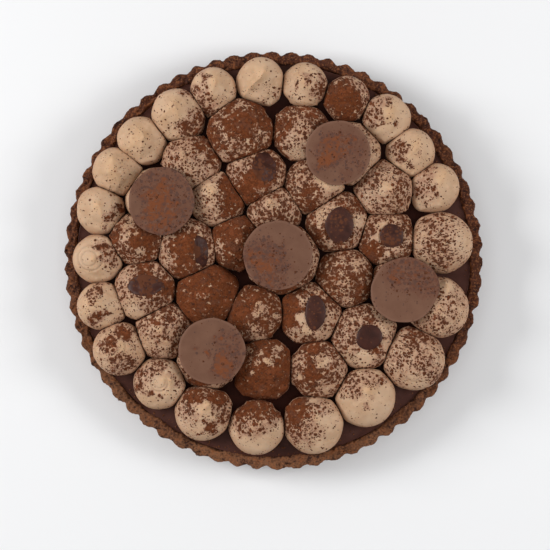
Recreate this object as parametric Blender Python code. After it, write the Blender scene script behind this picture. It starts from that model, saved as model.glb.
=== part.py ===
"""Round chocolate tart: a fluted cocoa pastry case filled with ganache, and on it four rings of piped
cream domes, five chocolate discs and four small pools of ganache.

Units are metres, +Z is up, and the origin is the centre of the case's flat foot.
"""

import math
import random
from typing import NamedTuple

import bmesh
import bpy
from mathutils import Matrix, Vector

MM = 0.001
GAP = 0.3 * MM  # clearance between pieces that touch

# Pastry case, baked in a fluted ring of 250 mm
CASE_RADIUS = 125 * MM  # at the rim, to the crest of a flute
CASE_HEIGHT = 25 * MM
CASE_FLARE = 4 * MM  # the foot is narrower than the rim by this much
RIM_WIDTH = 7.5 * MM
RIM_CHAMFER = 1.2 * MM
BASE_THICKNESS = 5 * MM
FLUTE_COUNT = 66
FLUTE_DEPTH = 2 * MM
POINTS_PER_FLUTE = 4
WALL_SEGMENTS = 96

# Ganache filling
FILLING_TOP = 22 * MM

# Piped domes: a foot, a widest ring above it, and a quarter ellipse up to a small peak
DOME_SEGMENTS = 16
DOME_ARC_STEPS = 3
DOME_FOOT = 0.80  # radius of the foot, as a share of the widest radius
DOME_WAIST = 0.32  # height of the widest ring, as a share of the dome's height
DOME_RADIUS = 17 * MM  # a middling dome
DOME_HEIGHT = 20 * MM  # of a middling dome
DOME_GROWTH = 0.6  # extra height for each unit of extra radius
PEAK_HEIGHT = 0.9 * MM
PRESS_PASSES = 6  # rounds of pressing, so that a corner between two neighbours fills out
OVERHANG_SLOPE = 1.2  # how far a dome may lean out over the rim, for each unit above it

# Each ring runs clockwise from the top: bearing from +X in degrees, distance from the centre in mm, radius in mm
DOME_RINGS = {
    "outer": [
        (94.5, 106.5, 14.5), (80, 106, 14), (65.5, 106, 14), (51.5, 108.5, 15), (38, 103.5, 15),
        (24, 105.5, 15), (6, 101, 19), (344, 102, 19), (325, 101, 19.5), (303.5, 98.5, 18.5),
        (283.5, 101, 18.5), (264, 100.5, 17), (245, 100.5, 17.5), (227, 101, 16), (210, 106, 16.5),
        (195, 106, 15), (179.5, 105.5, 15), (164, 108, 15), (150.5, 107, 15), (137.5, 106.5, 15),
        (123.5, 103.5, 16.5), (110, 106.5, 14.5),
    ],
    "second": [
        (104, 80, 20), (77.5, 77.5, 16.5), (54.5, 78, 18.5), (33.5, 78.5, 17.5), (11, 69, 17.5),
        (348.5, 75.5, 18), (320, 70, 19.5), (292, 69.5, 17.5), (264, 65, 17.5), (236.5, 69, 19.5),
        (212.5, 77.5, 17.5), (193, 80, 18.5), (171, 83.5, 16.5), (152.5, 78.5, 19.5), (129.5, 77, 17.5),
    ],
    "third": [
        (102.5, 51.5, 18), (61, 50, 18), (31.5, 44.5, 19), (346.5, 43.5, 17.5), (305.5, 38, 18.5),
        (251, 34.5, 16.5), (206.5, 44, 18.5), (173.5, 52, 18.5), (132.5, 48.5, 16.5),
    ],
    "inner": [(87.5, 28, 16), (14, 5.5, 21.5), (154.5, 25, 16)],
}

# Where the nozzle pulled a peak off to one side: bearing in degrees, distance in mm
PULLED_PEAKS = {
    "outer_01": (65, 5), "outer_05": (53, 4), "outer_06": (68, 5), "outer_09": (308, 4),
    "outer_10": (75, 6), "outer_11": (80, 6), "outer_12": (60, 6), "outer_13": (60, 6),
    "outer_14": (40, 6), "outer_16": (156, 4), "outer_18": (108, 3), "outer_19": (131, 5),
    "outer_20": (180, 4), "outer_21": (110, 5), "outer_22": (82, 6), "second_01": (200, 5),
    "second_04": (335, 6), "second_09": (59, 6), "second_11": (208, 3), "second_15": (159, 5),
    "third_06": (59, 5), "third_07": (223, 3), "third_09": (125, 6), "inner_01": (120, 6),
}
SLIGHT_LEAN = 2.5 * MM  # most that any other peak strays

# Chocolate discs, each lying on a dome that it presses a little flat
DISC_THICKNESS = 1.8 * MM
DISC_SEGMENTS = 28
DISC_PRESS = 1.2 * MM
DISC_CLEARANCE = 8 * MM  # the peaks this near a disc's edge are pressed down too

# Ganache pools, each set in a hollow scooped from a dome's flattened top
POOL_SEGMENTS = 12
POOL_DEPTH = 3.6 * MM
POOL_SINK = 1.0 * MM
SCOOPED_TOP = 0.86  # height of the flattened top, as a share of the dome's height


class Dome(NamedTuple):
    name: str
    centre: Vector
    radius: float
    height: float


class Disc(NamedTuple):
    name: str
    dome: str
    centre: tuple  # mm
    radius: float  # mm
    tilt: float  # degrees
    uphill: float  # bearing of the raised side, degrees
    flat: float  # share of the radius cut off on the flattened side
    flat_bearing: float  # degrees


class Pool(NamedTuple):
    name: str
    dome: str
    centre: tuple  # mm
    size: tuple  # mm


DISCS = [
    Disc("disc_upper_right", "second_03", (38, 63), 19, 2.0, 60, 0.00, 0),
    Disc("disc_upper_left", "second_14", (-66.5, 34), 19, 3.0, 150, 0.02, 320),
    Disc("disc_centre", "inner_02", (2.5, 3), 20, 1.5, 200, 0.00, 0),
    Disc("disc_right", "second_06", (77.5, -17), 20, 3.0, 330, 0.09, 330),
    Disc("disc_lower_left", "second_10", (-36, -53), 19, 2.5, 70, 0.02, 250),
]

POOLS = [
    Pool("pool_upper", "third_03", (39, 20.5), (16.5, 22)),
    Pool("pool_right", "second_05", (69.5, 14.5), (14.5, 13.5)),
    Pool("pool_lower_right", "second_07", (56, -45), (15.5, 15)),
    Pool("pool_lower", "third_05", (24.5, -30.5), (12, 20.5)),
]


def on_bearing(degrees, distance):
    """The flat vector that runs this far along a bearing."""
    angle = math.radians(degrees)
    return Vector((distance * math.cos(angle), distance * math.sin(angle)))


def inner_radius(height):
    """Radius of the case's smooth inner wall at a height."""
    return CASE_RADIUS - RIM_WIDTH - CASE_FLARE * (1 - height / CASE_HEIGHT)


def outer_radius(angle, height):
    """Radius of the case's outside: round scallops that meet in narrow notches, and a chamfer at the rim."""
    scallop = abs(math.sin(FLUTE_COUNT * angle / 2))
    radius = CASE_RADIUS - FLUTE_DEPTH * (1 - scallop)
    radius -= CASE_FLARE * (1 - height / CASE_HEIGHT)
    if height > CASE_HEIGHT - RIM_CHAMFER / 2:
        radius -= RIM_CHAMFER
    return radius


def plan_domes():
    """Every dome of the four rings, by name."""
    domes = {}
    for ring, places in DOME_RINGS.items():
        for number, (bearing, distance, radius) in enumerate(places, start=1):
            name = f"{ring}_{number:02d}"
            centre = on_bearing(bearing, distance * MM)
            height = DOME_HEIGHT + DOME_GROWTH * (radius * MM - DOME_RADIUS)
            domes[name] = Dome(name, centre, radius * MM, height)
    return domes


def plan_leans(domes):
    """How far each dome's peak stands from its middle. Discs and pools take the peak off altogether."""
    dice = random.Random(11)
    leans = {}
    for name in domes:
        slight = on_bearing(dice.uniform(0, 360), dice.uniform(0, SLIGHT_LEAN))
        bearing, distance = PULLED_PEAKS.get(name, (0, 0))
        leans[name] = on_bearing(bearing, distance * MM) if distance else slight
    return leans


def disc_frame(disc, domes):
    """World matrix of a disc: its underside's centre, with +Z square to the disc."""
    base = FILLING_TOP + GAP + domes[disc.dome].height - DISC_PRESS
    place = Matrix.Translation((disc.centre[0] * MM, disc.centre[1] * MM, base))
    turned = Matrix.Rotation(math.radians(disc.uphill), 4, "Z")
    tilted = Matrix.Rotation(math.radians(-disc.tilt), 4, "Y")
    return place @ turned @ tilted @ turned.inverted()


def plane_height(frame, point):
    """Height of a disc's underside plane above a flat point."""
    origin = frame.translation
    normal = frame.col[2].xyz
    return origin.z - (normal.x * (point.x - origin.x) + normal.y * (point.y - origin.y)) / normal.z


def dome_profile():
    """Outline of a dome of radius 1 and height 1, from its foot up to the top."""
    quarter = [math.radians(90 * step / DOME_ARC_STEPS) for step in range(DOME_ARC_STEPS + 1)]
    arc = [(math.cos(a), DOME_WAIST + (1 - DOME_WAIST) * math.sin(a)) for a in quarter]
    return [(DOME_FOOT, 0.0)] + arc


def turned_dome(dome):
    """A plain dome, turned round its own axis on z = 0."""
    bm = bmesh.new()
    verts = [bm.verts.new((dome.radius * r, 0, dome.height * z)) for r, z in dome_profile()]
    edges = [bm.edges.new(pair) for pair in zip(verts, verts[1:])]
    bmesh.ops.spin(
        bm, geom=verts + edges, cent=(0, 0, 0), axis=(0, 0, 1),
        angle=math.tau, steps=DOME_SEGMENTS, use_merge=True,
    )
    bmesh.ops.remove_doubles(bm, verts=bm.verts, dist=0.01 * MM)
    foot = [edge for edge in bm.edges if edge.is_boundary]
    bmesh.ops.contextual_create(bm, geom=foot)
    bmesh.ops.recalc_face_normals(bm, faces=bm.faces)
    return bm


def pull_peak(bm, dome, lean):
    """Leans the upper part of a dome and draws its top up to a small peak."""
    for vert in bm.verts:
        share = vert.co.z / dome.height
        vert.co.xy += lean * share**2
        if share > 0.999:
            vert.co.z += PEAK_HEIGHT


def flatten_top(bm, dome):
    """Presses a dome's top flat, as for a scooped hollow."""
    for vert in bm.verts:
        vert.co.z = min(vert.co.z, SCOOPED_TOP * dome.height)


def keep_inside_rim(bm, dome):
    """Holds a dome clear of the rim's inner edge: it may only lean out above the rim."""
    for vert in bm.verts:
        above_rim = FILLING_TOP + GAP + vert.co.z - CASE_HEIGHT
        most = inner_radius(CASE_HEIGHT) - GAP + OVERHANG_SLOPE * above_rim
        place = dome.centre + vert.co.xy
        if place.length > most:
            vert.co.xy = place * (most / place.length) - dome.centre


def press_neighbours(bm, dome, domes):
    """Flattens a dome where it meets the next ones, on the plane through the circle that the two share."""
    planes = []
    for other in domes.values():
        apart = other.centre - dome.centre
        distance = apart.length
        if other is dome or distance > dome.radius + other.radius + GAP:
            continue
        reach = (distance**2 + dome.radius**2 - other.radius**2) / (2 * distance)
        planes.append((apart / distance, reach - GAP / 2))
    for vert in bm.verts:
        for _ in range(PRESS_PASSES):
            for away, reach in planes:
                vert.co.xy -= away * max(0, vert.co.xy.dot(away) - reach)
        over = max([vert.co.xy.dot(away) / reach for away, reach in planes], default=0)
        vert.co.xy /= max(1, over)


def press_under_discs(bm, dome, frames):
    """Lowers whatever part of a dome would stand up into a disc or just beside it."""
    for disc, frame in frames:
        for vert in bm.verts:
            place = dome.centre + vert.co.xy
            away = (place - frame.translation.xy).length
            if away < disc.radius * MM + DISC_CLEARANCE:
                top = plane_height(frame, place) - GAP - FILLING_TOP - GAP
                vert.co.z = min(vert.co.z, top)


def fluted_case():
    """The case's outside, still solid."""
    bm = bmesh.new()
    bmesh.ops.create_cone(
        bm, cap_ends=True, segments=FLUTE_COUNT * POINTS_PER_FLUTE,
        radius1=CASE_RADIUS, radius2=CASE_RADIUS, depth=CASE_HEIGHT,
    )
    bmesh.ops.translate(bm, verts=bm.verts, vec=(0, 0, CASE_HEIGHT / 2))
    everything = bm.verts[:] + bm.edges[:] + bm.faces[:]
    shoulder = (0, 0, CASE_HEIGHT - RIM_CHAMFER)
    bmesh.ops.bisect_plane(bm, geom=everything, plane_co=shoulder, plane_no=(0, 0, 1))
    for vert in bm.verts:
        angle = math.atan2(vert.co.y, vert.co.x)
        radius = outer_radius(angle, vert.co.z)
        vert.co.xy = (radius * math.cos(angle), radius * math.sin(angle))
    return bm


def inner_plug(bottom, top, clearance):
    """A solid that fits the case's inner wall between two heights, less a clearance."""
    bm = bmesh.new()
    bmesh.ops.create_cone(
        bm, cap_ends=True, segments=WALL_SEGMENTS, depth=top - bottom,
        radius1=inner_radius(bottom) - clearance, radius2=inner_radius(top) - clearance,
    )
    bmesh.ops.translate(bm, verts=bm.verts, vec=(0, 0, (bottom + top) / 2))
    return bm


def disc_solid(disc):
    """A flat disc on z = 0, slightly out of round, with one side flattened."""
    bm = bmesh.new()
    radius = disc.radius * MM
    bmesh.ops.create_cone(
        bm, cap_ends=True, segments=DISC_SEGMENTS, radius1=radius, radius2=radius, depth=DISC_THICKNESS
    )
    bmesh.ops.translate(bm, verts=bm.verts, vec=(0, 0, DISC_THICKNESS / 2))
    flat = on_bearing(disc.flat_bearing, 1)
    most = radius * (1 - disc.flat)
    for vert in bm.verts:
        past = vert.co.xy.dot(flat) - most
        if past > 0:
            vert.co.xy -= 0.8 * past * flat
        elif disc.flat:
            vert.co.xy += disc.flat * max(0, -past - radius) * flat
    return bm


def ellipsoid(half_sizes):
    """A ball stretched to these half sizes."""
    bm = bmesh.new()
    bmesh.ops.create_uvsphere(bm, u_segments=POOL_SEGMENTS, v_segments=8, radius=1)
    bmesh.ops.scale(bm, verts=bm.verts, vec=half_sizes)
    return bm


def pool_solid(pool):
    """The ganache in a hollow: the lower part of an ellipsoid, cut off level."""
    half_sizes = [size * MM / 2 - GAP for size in pool.size] + [POOL_DEPTH - GAP]
    bm = ellipsoid(half_sizes)
    everything = bm.verts[:] + bm.edges[:] + bm.faces[:]
    level = (0, 0, -POOL_SINK)
    cut = bmesh.ops.bisect_plane(bm, geom=everything, plane_co=level, plane_no=(0, 0, 1), clear_outer=True)
    rim = [edge for edge in cut["geom_cut"] if isinstance(edge, bmesh.types.BMEdge)]
    bmesh.ops.contextual_create(bm, geom=rim)
    bmesh.ops.recalc_face_normals(bm, faces=bm.faces)
    return bm


def make_material(name, colour, roughness):
    """A plain Principled material."""
    material = bpy.data.materials.new(name)
    material.use_nodes = True
    shader = material.node_tree.nodes["Principled BSDF"]
    shader.inputs["Base Color"].default_value = (*colour, 1)
    shader.inputs["Roughness"].default_value = roughness
    shader.inputs["Metallic"].default_value = 0
    material.diffuse_color = (*colour, 1)
    return material


def make_object(name, bm, collection, material=None, parent=None):
    """Turns a bmesh into a named object."""
    mesh = bpy.data.meshes.new(name)
    bm.to_mesh(mesh)
    bm.free()
    mesh.shade_smooth()
    mesh.set_sharp_from_angle(angle=math.radians(40))
    obj = bpy.data.objects.new(name, mesh)
    collection.objects.link(obj)
    obj.parent = parent
    if material:
        mesh.materials.append(material)
    return obj


def subtract(obj, cutter):
    """Cuts one object out of another."""
    cutter.hide_render = True
    cutter.display_type = "WIRE"
    cut = obj.modifiers.new("hollow", "BOOLEAN")
    cut.operation = "DIFFERENCE"
    cut.solver = "EXACT"
    cut.object = cutter


def build_case(tart, cutters, root):
    pastry = make_material("cocoa_pastry", (0.105, 0.045, 0.022), 0.75)
    case = make_object("pastry_case", fluted_case(), tart, pastry, root)
    hollow = inner_plug(BASE_THICKNESS, CASE_HEIGHT + 5 * MM, 0)
    subtract(case, make_object("case_hollow", hollow, cutters))


def build_filling(tart, root):
    ganache = make_material("ganache", (0.040, 0.016, 0.012), 0.35)
    filling = inner_plug(BASE_THICKNESS + GAP, FILLING_TOP, GAP)
    make_object("ganache_filling", filling, tart, ganache, root)


def build_domes(domes, frames, tart, root):
    cream = make_material("chocolate_cream", (0.56, 0.36, 0.23), 0.55)
    leans = plan_leans(domes)
    covered = {disc.dome for disc in DISCS}
    scooped = {pool.dome for pool in POOLS}
    for name, dome in domes.items():
        bm = turned_dome(dome)
        if name in scooped:
            flatten_top(bm, dome)
        elif name not in covered:
            pull_peak(bm, dome, leans[name])
        keep_inside_rim(bm, dome)
        press_neighbours(bm, dome, domes)
        press_under_discs(bm, dome, frames)
        obj = make_object(f"dome_{name}", bm, tart, cream, root)
        obj.location = (*dome.centre, FILLING_TOP + GAP)


def build_discs(frames, tart, root):
    chocolate = make_material("milk_chocolate", (0.17, 0.085, 0.060), 0.45)
    for disc, frame in frames:
        obj = make_object(disc.name, disc_solid(disc), tart, chocolate, root)
        obj.matrix_world = frame


def build_pools(domes, tart, cutters, root):
    dark = make_material("dark_ganache", (0.050, 0.020, 0.017), 0.25)
    for pool in POOLS:
        level = FILLING_TOP + GAP + SCOOPED_TOP * domes[pool.dome].height
        place = (pool.centre[0] * MM, pool.centre[1] * MM, level)
        obj = make_object(pool.name, pool_solid(pool), tart, dark, root)
        obj.location = place
        scoop = ellipsoid([size * MM / 2 for size in pool.size] + [POOL_DEPTH])
        cutter = make_object(f"{pool.name}_scoop", scoop, cutters)
        cutter.location = place
        subtract(bpy.data.objects[f"dome_{pool.dome}"], cutter)


def clear_scene():
    for obj in list(bpy.data.objects):
        bpy.data.objects.remove(obj, do_unlink=True)


def build_tart():
    clear_scene()
    tart = bpy.data.collections.new("chocolate_tart")
    cutters = bpy.data.collections.new("cutters")
    bpy.context.scene.collection.children.link(tart)
    bpy.context.scene.collection.children.link(cutters)
    root = bpy.data.objects.new("tart", None)
    tart.objects.link(root)

    domes = plan_domes()
    frames = [(disc, disc_frame(disc, domes)) for disc in DISCS]
    build_case(tart, cutters, root)
    build_filling(tart, root)
    build_domes(domes, frames, tart, root)
    build_discs(frames, tart, root)
    build_pools(domes, tart, cutters, root)


build_tart()
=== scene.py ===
import math

import bmesh
import bpy
import numpy as np
from mathutils import Matrix, Vector
from mathutils.bvhtree import BVHTree


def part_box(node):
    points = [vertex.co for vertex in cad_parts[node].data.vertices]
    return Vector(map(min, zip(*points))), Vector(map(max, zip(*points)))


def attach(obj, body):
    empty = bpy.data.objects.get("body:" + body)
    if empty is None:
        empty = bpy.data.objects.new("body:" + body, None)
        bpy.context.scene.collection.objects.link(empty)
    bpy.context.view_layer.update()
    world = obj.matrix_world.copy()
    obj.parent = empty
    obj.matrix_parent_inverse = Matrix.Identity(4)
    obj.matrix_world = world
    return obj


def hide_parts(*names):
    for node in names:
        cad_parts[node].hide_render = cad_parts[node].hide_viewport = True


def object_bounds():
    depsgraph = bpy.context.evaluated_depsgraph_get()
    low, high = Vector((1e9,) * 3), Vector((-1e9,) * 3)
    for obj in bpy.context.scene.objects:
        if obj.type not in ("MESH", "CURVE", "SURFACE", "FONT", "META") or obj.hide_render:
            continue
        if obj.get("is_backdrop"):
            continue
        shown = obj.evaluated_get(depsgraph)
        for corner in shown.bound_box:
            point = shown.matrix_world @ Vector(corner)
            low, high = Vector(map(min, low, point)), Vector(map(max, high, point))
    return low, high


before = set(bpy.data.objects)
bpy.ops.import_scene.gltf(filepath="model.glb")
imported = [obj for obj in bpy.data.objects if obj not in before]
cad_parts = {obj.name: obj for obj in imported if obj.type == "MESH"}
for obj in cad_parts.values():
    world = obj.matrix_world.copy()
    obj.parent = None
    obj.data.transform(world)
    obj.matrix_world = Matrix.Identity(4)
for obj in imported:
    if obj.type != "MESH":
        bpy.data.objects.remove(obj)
cad_low, cad_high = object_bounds()
MM = 0.001


# ---------------------------------------------------------------------------------------------
# Pastry case. Cocoa shortcrust, pressed into a fluted ring, trimmed level with the ring and baked
# blind. The outside keeps the ring's round scallops; the rim is rough, crumbly and a little
# uneven, and the inner wall wanders where the dough was pressed in by hand.

FLUTES = 66
POINTS_PER_FLUTE = 18
FLUTE_DEPTH = 2.0 * MM
FLUTE_TURN = 2.26  # where round the ring the scallops start
FLUTE_DRIFT = 1.31  # how far they run ahead on one side and behind on the other
FLUTE_WAVER = -0.15
CASE_FLARE = 4.0 * MM  # the foot is this much smaller in radius than the rim
RIM_WIDTH = 7.5 * MM
BASE_THICKNESS = 5.0 * MM
ROUNDED_FOOT = 0.7 * MM
ROUNDED_RIM = 1.9 * MM
ROUNDED_LIP = 1.8 * MM


def put(tree, kind, inputs=None, **settings):
    """Adds a shader node, and fills its sockets with numbers, colours or other nodes' outputs."""
    node = tree.nodes.new("ShaderNode" + kind)
    for name, value in settings.items():
        setattr(node, name, value)
    for key, value in (inputs or {}).items():
        if isinstance(value, bpy.types.NodeSocket):
            tree.links.new(value, node.inputs[key])
        else:
            node.inputs[key].default_value = value
    return node


def maths(tree, operation, first, second):
    """The output of a Math node."""
    return put(tree, "Math", {0: first, 1: second}, operation=operation).outputs[0]


def tint(tree, shade, mask, colour, strength=1):
    """A shade with a colour laid over it where the mask says, at this strength at most."""
    factor = mask if strength == 1 else maths(tree, "MULTIPLY", mask, strength)
    under, over = (c if isinstance(c, bpy.types.NodeSocket) else (*c, 1) for c in (shade, colour))
    return put(tree, "Mix", {0: factor, 6: under, 7: over}, data_type="RGBA").outputs[2]


def soft_step(tree, value, start, end):
    """0 before start, 1 after end, and a smooth rise between."""
    sockets = {"Value": value, "From Min": start, "From Max": end}
    return put(tree, "MapRange", sockets, interpolation_type="SMOOTHSTEP").outputs[0]


def grain(tree, vector, size, detail=2.0, roughness=0.5):
    """Noise whose features are about this many metres across."""
    sockets = {"Vector": vector, "Scale": 1 / size, "Detail": detail, "Roughness": roughness}
    return put(tree, "TexNoise", sockets).outputs[0]


def new_material(name):
    """An empty Principled material: its tree, its shader and its Object coordinates."""
    material = bpy.data.materials.new(name)
    material.use_nodes = True
    tree = material.node_tree
    shader = tree.nodes["Principled BSDF"]
    where = put(tree, "TexCoord").outputs["Object"]
    return material, tree, shader, where


def surfaced(tree, shader, colour, roughness, specular, height, distance, strength):
    """Gives the shader its colour, roughness and specular level, and a height for its normal."""
    tree.links.new(colour, shader.inputs["Base Color"])
    tree.links.new(roughness, shader.inputs["Roughness"])
    shader.inputs["Specular IOR Level"].default_value = specular
    bump = put(tree, "Bump", {"Height": height, "Distance": distance, "Strength": strength})
    tree.links.new(bump.outputs[0], shader.inputs["Normal"])


def finished(name, mesh, material, node=None):
    """Puts a finished mesh in the scene, riding on the tart, in place of a CAD node if one is named."""
    mesh.shade_smooth()
    mesh.materials.append(material)
    obj = bpy.data.objects.new(name, mesh)
    bpy.context.scene.collection.objects.link(obj)
    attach(obj, "root")
    if node:
        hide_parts(node)
    return obj


def as_mesh(bm, name):
    """Turns a bmesh into a mesh and frees it."""
    mesh = bpy.data.meshes.new(name)
    bm.to_mesh(mesh)
    bm.free()
    return mesh


def vectors(mesh, what="co"):
    """The vertices' places, or their normals, as rows of an array."""
    values = np.empty(len(mesh.vertices) * 3)
    mesh.vertices.foreach_get(what, values)
    return values.reshape(-1, 3)


def move_to(mesh, places):
    mesh.vertices.foreach_set("co", places.ravel())
    mesh.update()


def mark(mesh, label, values):
    """Stores a number at each vertex for a material to read."""
    attribute = mesh.attributes.new(label, "FLOAT", "POINT")
    attribute.data.foreach_set("value", values.astype(np.float32))


def rise(values, start, end):
    """0 before start, 1 after end, and a smooth rise between."""
    share = np.clip((values - start) / (end - start), 0, 1)
    return share * share * (3 - 2 * share)


def ripple(points, size, seed, waves=14):
    """Smooth noise of unit strength with bumps about this far apart: waves in seeded directions."""
    dice = np.random.RandomState(seed)
    directions = dice.normal(size=(waves, 3))
    directions /= np.linalg.norm(directions, axis=1)[:, None]
    lengths = size * dice.uniform(0.7, 1.7, waves)
    phases = dice.uniform(0, math.tau, waves)
    heights = np.sin(points @ (directions * (math.tau / lengths)[:, None]).T + phases)
    return heights.sum(1) * math.sqrt(2 / waves)


def out_from(points, middle=0):
    """How far each point is from a middle, in plan."""
    return np.linalg.norm(points[:, :2] - middle, axis=1)


def turned(profile, steps):
    """A round solid from an outline of (radius, height) points that starts and ends on the axis."""
    bm = bmesh.new()
    last = len(profile) - 1
    bmesh.ops.create_grid(bm, x_segments=steps, y_segments=last, size=0.5)
    for vert in bm.verts:
        angle = (vert.co.x + 0.5) * math.tau
        radius, height = profile[round((vert.co.y + 0.5) * last)]
        vert.co = (radius * math.cos(angle), radius * math.sin(angle), height)
    bmesh.ops.remove_doubles(bm, verts=bm.verts, dist=0.001 * MM)
    bmesh.ops.recalc_face_normals(bm, faces=bm.faces)
    return bm


def along(start, end, count):
    """Points from start to just before end, evenly spaced."""
    return [tuple(np.array(start) + (np.array(end) - start) * step / count) for step in range(count)]


def round_corner(corner, before, after, size, count):
    """A rounded corner of an outline, as a quadratic curve between the points either side of it."""
    corner = np.array(corner)
    first, last = (
        corner + (np.array(end) - corner) / np.linalg.norm(np.array(end) - corner) * size
        for end in (before, after)
    )
    shares = [step / count for step in range(count + 1)]
    return [tuple((1 - s) ** 2 * first + 2 * s * (1 - s) * corner + s * s * last) for s in shares]


def build_pastry():
    low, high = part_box("pastry_case")
    crest = min(high.x, high.y) - 0.1 * MM
    top = high.z
    inner_rim = crest - RIM_WIDTH
    foot = (crest - CASE_FLARE, low.z)
    outer_rim = (crest, top)
    inner_top = (inner_rim, top)
    inner_foot = (inner_rim - CASE_FLARE, BASE_THICKNESS)
    rounded_foot = round_corner(foot, (0, low.z), outer_rim, ROUNDED_FOOT, 3)
    rounded_rim = round_corner(outer_rim, foot, inner_top, ROUNDED_RIM, 5)
    rounded_inside = round_corner(inner_top, outer_rim, inner_foot, ROUNDED_LIP, 5)
    profile = along((0, low.z), (foot[0] - 10 * MM, low.z), 2)
    profile += along((foot[0] - 10 * MM, low.z), rounded_foot[0], 5)
    profile += rounded_foot[:-1] + along(rounded_foot[-1], rounded_rim[0], 17)
    profile += rounded_rim[:-1] + along(rounded_rim[-1], rounded_inside[0], 6)
    profile += rounded_inside[:-1] + along(rounded_inside[-1], inner_foot, 7)
    profile += along(inner_foot, (0, BASE_THICKNESS), 2) + [(0, BASE_THICKNESS)]
    mesh = as_mesh(turned(profile, FLUTES * POINTS_PER_FLUTE), "baked_pastry_case")

    place = vectors(mesh)
    radius = out_from(place)
    outward = place[:, :2] / np.maximum(radius, 1e-9)[:, None]
    angle = np.arctan2(place[:, 1], place[:, 0])
    height = place[:, 2] / top
    ring = np.column_stack((outward * crest, np.zeros(len(place))))
    turn = FLUTE_TURN - FLUTE_DRIFT * np.cos(angle) + FLUTE_WAVER * np.sin(3 * angle + 0.25)
    drift = math.pi / 2 + turn / 2 + 0.08 * ripple(ring, 40 * MM, 1)
    scallop = np.minimum(1, (np.sin(FLUTES * angle / 2 + drift) ** 2 + 0.004) ** 0.70)
    depth = FLUTE_DEPTH * (1 + 0.16 * ripple(ring + place * 0.3, 26 * MM, 2))
    outside = crest - CASE_FLARE * (1 - height)
    share = rise(radius, outside - 6.0 * MM, outside - 1.0 * MM)
    radius_moved = radius - depth * (1 - scallop) * share
    inward = rise(outside - radius, 1.5 * MM, 6.5 * MM) * (place[:, 2] > 15 * MM)
    radius_moved += inward * (0.55 * MM * ripple(ring, 34 * MM, 3) + 0.28 * MM * ripple(ring, 9 * MM, 4))
    place[:, :2] = outward * radius_moved[:, None]
    near_rim = np.clip(1 - (top - place[:, 2]) / (4 * MM), 0, 1)
    place[:, 2] -= near_rim * (0.55 + 0.25 * np.clip(ripple(ring, 60 * MM, 5), -1.5, 1.5)) * MM
    move_to(mesh, place)

    normal = vectors(mesh, "normal")
    shown = rise(radius, 90 * MM, 100 * MM) * rise(place[:, 2], 0.3 * MM, 1.5 * MM)
    rough = 0.16 * ripple(place, 5.0 * MM, 6) + 0.19 * ripple(place, 2.6 * MM, 7)
    rough += 0.13 * ripple(place, 1.6 * MM, 8, 24)
    pits = np.maximum(0, ripple(place, 3.4 * MM, 9) - 1.2)
    lumps = np.maximum(0, ripple(place, 4.2 * MM, 10) - 1.3)
    flat_top = 0.45 + 0.55 * np.clip(normal[:, 2] * 1.5, 0, 1)
    place += normal * ((rough - 0.60 * pits + 0.40 * lumps - 0.15) * flat_top * shown * MM)[:, None]
    beyond = np.maximum(1, out_from(place) / crest)
    place[:, :2] /= beyond[:, None]
    move_to(mesh, place)
    return mesh


def pastry_material():
    material, tree, shader, where = new_material("baked_cocoa_pastry")
    broad = grain(tree, where, 30 * MM, 2)
    middle = grain(tree, where, 3.2 * MM, 4, 0.65)
    fine = grain(tree, where, 1.1 * MM, 3, 0.6)
    place = put(tree, "SeparateXYZ", {0: where})
    # Lighter towards the lower left and darker towards the upper right: partly painted light and shade,
    # partly uneven browning in the oven
    ahead = maths(tree, "ADD", place.outputs[1], maths(tree, "MULTIPLY", place.outputs[0], 0.22))
    painted_light_and_browning = soft_step(tree, ahead, 0.0, -0.125)
    shade = tint(tree, (0.074, 0.021, 0.010), painted_light_and_browning, (0.190, 0.084, 0.040))
    for value, start, end, colour, strength in (
        (broad, 0.35, 0.7, (0.110, 0.038, 0.017), 0.6),
        (middle, 0.50, 0.34, (0.026, 0.008, 0.005), 1),
        (middle, 0.54, 0.64, (0.22, 0.072, 0.024), 0.7),
        (fine, 0.53, 0.64, (0.24, 0.095, 0.040), 0.8),
        (fine, 0.46, 0.35, (0.034, 0.012, 0.007), 0.75),
    ):
        shade = tint(tree, shade, soft_step(tree, value, start, end), colour, strength)
    coarse = maths(tree, "MULTIPLY", middle, 0.6)
    height = maths(tree, "ADD", coarse, maths(tree, "MULTIPLY", fine, 0.4))
    surfaced(tree, shader, shade, soft_step(tree, fine, -0.8, 1.1), 0.18, height, 0.7 * MM, 0.9)
    return material


finished("baked_pastry", build_pastry(), pastry_material(), "pastry_case")


# ---------------------------------------------------------------------------------------------
# Ganache filling. Dark chocolate and cream, poured warm into the case almost to the rim. It set
# nearly level and satin-smooth, with a low rise where it clings to the pastry.

CLING = 0.7 * MM  # how far it rises at the pastry
CLING_REACH = 1.3 * MM
RIM_HEIGHT = 25 * MM


def build_filling():
    low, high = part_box("ganache_filling")
    edge = high.x
    bottom_edge = edge - CASE_FLARE * (high.z - low.z) / RIM_HEIGHT
    profile = along((0, low.z), (bottom_edge, low.z), 2)
    profile += along((bottom_edge, low.z), (edge, high.z + CLING), 4)
    for step in range(12):
        away = step * 0.5 * MM
        profile.append((edge - away, high.z + CLING * math.exp(-away / CLING_REACH)))
    profile += along((edge - 6 * MM, high.z), (0, high.z), 44) + [(0, high.z)]
    mesh = as_mesh(turned(profile, 264), "poured_ganache_filling")
    place = vectors(mesh)
    top = place[:, 2] > high.z - 1 * MM
    place[:, 2] += top * (0.16 * ripple(place, 24 * MM, 21) + 0.06 * ripple(place, 8 * MM, 22)) * MM
    move_to(mesh, place)
    return mesh


def between(tree, share, low, high):
    """A value that runs from low to high as the share runs from 0 to 1."""
    return put(tree, "MapRange", {"Value": share, "To Min": low, "To Max": high}).outputs[0]


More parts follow.
